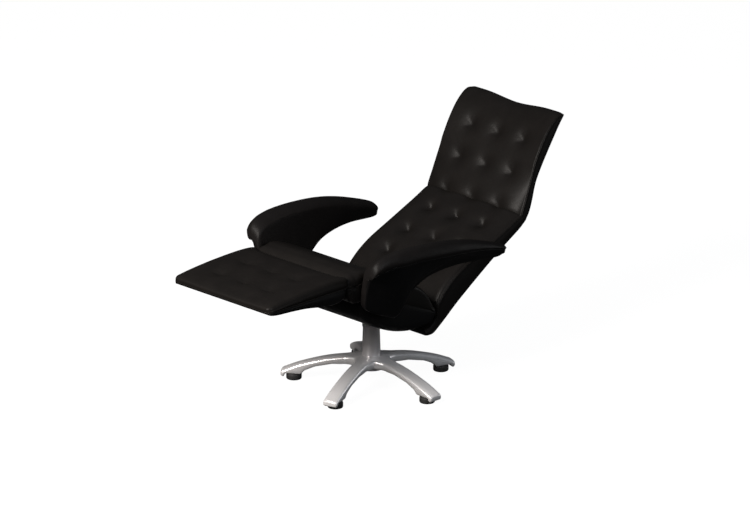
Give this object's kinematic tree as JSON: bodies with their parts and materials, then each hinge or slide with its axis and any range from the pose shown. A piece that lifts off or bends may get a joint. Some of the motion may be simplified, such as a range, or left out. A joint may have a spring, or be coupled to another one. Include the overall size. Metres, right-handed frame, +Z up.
{
  "type": "reclining lounge armchair",
  "caption": "Low padded recliner on a star-shaped swivel base, lying back, with sewn tufts, a folding head section, side arms and a hinged footrest.",
  "frame": {"origin": "on the floor, on the swivel axis at the middle of the star base", "axes": "+Z up; the sitter faces -Y and lies with the head towards +Y; +X is the sitter's left"},
  "size_m": [0.7138, 1.488, 0.8878],
  "materials": {
    "leather": "smooth black leather with a soft warm sheen",
    "grained_leather": "fine-grained black leather",
    "back_leather": "flat black leather",
    "satin_aluminium": "satin polished casting",
    "satin_steel": "satin",
    "painted_steel": "black powder coat",
    "zinc_steel": "zinc plated",
    "black_rubber": "matte",
    "bush_plastic": "natural white",
    "black_plastic": "fine matte",
    "plywood": "raw birch plywood"
  },
  "bodies": {
    "base": {"star_base": "satin_aluminium", "glide_1": "black_rubber", "glide_2": "black_rubber", "glide_3": "black_rubber", "glide_4": "black_rubber", "glide_5": "black_rubber", "column_tube": "satin_steel", "column_bush_upper": "bush_plastic", "column_bush_lower": "bush_plastic"},
    "carriage": {"spindle": "zinc_steel", "spindle_nut": "zinc_steel", "tilt_bracket": "zinc_steel", "tilt_axle": "zinc_steel"},
    "seat": {"seat_plate_left": "painted_steel", "seat_plate_right": "painted_steel", "cross_tube_front": "painted_steel", "cross_tube_middle": "painted_steel", "tilt_lug_left": "painted_steel", "tilt_lug_right": "painted_steel", "seat_pan": "plywood", "seat_cushion": "leather", "belly_shell": "back_leather", "strut_cylinder": "painted_steel", "arm_core_left": "plywood", "arm_core_right": "plywood", "arm_pad_left": "leather", "arm_pad_right": "leather", "arm_panel_left": "grained_leather", "arm_panel_right": "grained_leather", "arm_stud_left_1": "zinc_steel", "arm_stud_left_2": "zinc_steel", "arm_stud_right_1": "zinc_steel", "arm_stud_right_2": "zinc_steel"},
    "back": {"back_axle": "zinc_steel", "back_rail_left": "painted_steel", "back_rail_right": "painted_steel", "back_bar_1": "painted_steel", "back_bar_2": "painted_steel", "back_bar_3": "painted_steel", "back_cushion": "leather", "back_shell": "back_leather", "head_pin_left": "painted_steel", "head_pin_right": "painted_steel"},
    "head": {"head_rail_left": "painted_steel", "head_rail_right": "painted_steel", "head_bar_1": "painted_steel", "head_bar_2": "painted_steel", "head_cushion": "leather", "head_shell": "back_leather"},
    "footrest": {"footrest_axle": "painted_steel", "footrest_arm_left": "painted_steel", "footrest_arm_right": "painted_steel", "footrest_board": "plywood", "footrest_cushion": "leather", "footrest_underside": "back_leather"},
    "strut_rod": {"strut_rod": "zinc_steel"},
    "lever": {"release_lever": "painted_steel", "lever_grip": "black_plastic"}
  },
  "joints": [
    {"name": "swivel", "type": "hinge", "parent": "base", "child": "carriage", "pos_m": [0, 0, 0.23], "axis": [0, 0, 1], "continuous": true},
    {"name": "seat_tilt", "type": "hinge", "parent": "carriage", "child": "seat", "pos_m": [0, 0, 0.275], "axis": [1, 0, 0], "range_deg": [0, 10.01]},
    {"name": "back_recline", "type": "hinge", "parent": "seat", "child": "back", "pos_m": [0, 0.04, 0.303], "axis": [1, 0, 0], "range_deg": [0, 35]},
    {"name": "strut_stroke", "type": "slide", "parent": "seat", "child": "strut_rod", "axis": [0, 0.8988, -0.4384], "range_m": [0, 0.0169]},
    {"name": "head_tilt", "type": "hinge", "parent": "back", "child": "head", "pos_m": [0, 0.552, 0.545], "axis": [1, 0, 0], "range_deg": [-35, 0]},
    {"name": "footrest_fold", "type": "hinge", "parent": "seat", "child": "footrest", "pos_m": [0, -0.315, 0.502], "axis": [1, 0, 0], "range_deg": [0, 70]},
    {"name": "lever_lift", "type": "hinge", "parent": "seat", "child": "lever", "pos_m": [0, -0.105, 0.345], "axis": [1, 0, 0], "range_deg": [-15, 0], "stiffness_Nm_per_rad": 0.6, "springref_deg": 14.32}
  ],
  "couplings": [
    {"joint": "seat_tilt", "follows": "back_recline", "ratio": 0.2857},
    {"joint": "strut_stroke", "follows": "back_recline", "m_per_rad": 0.027566}
  ]
}
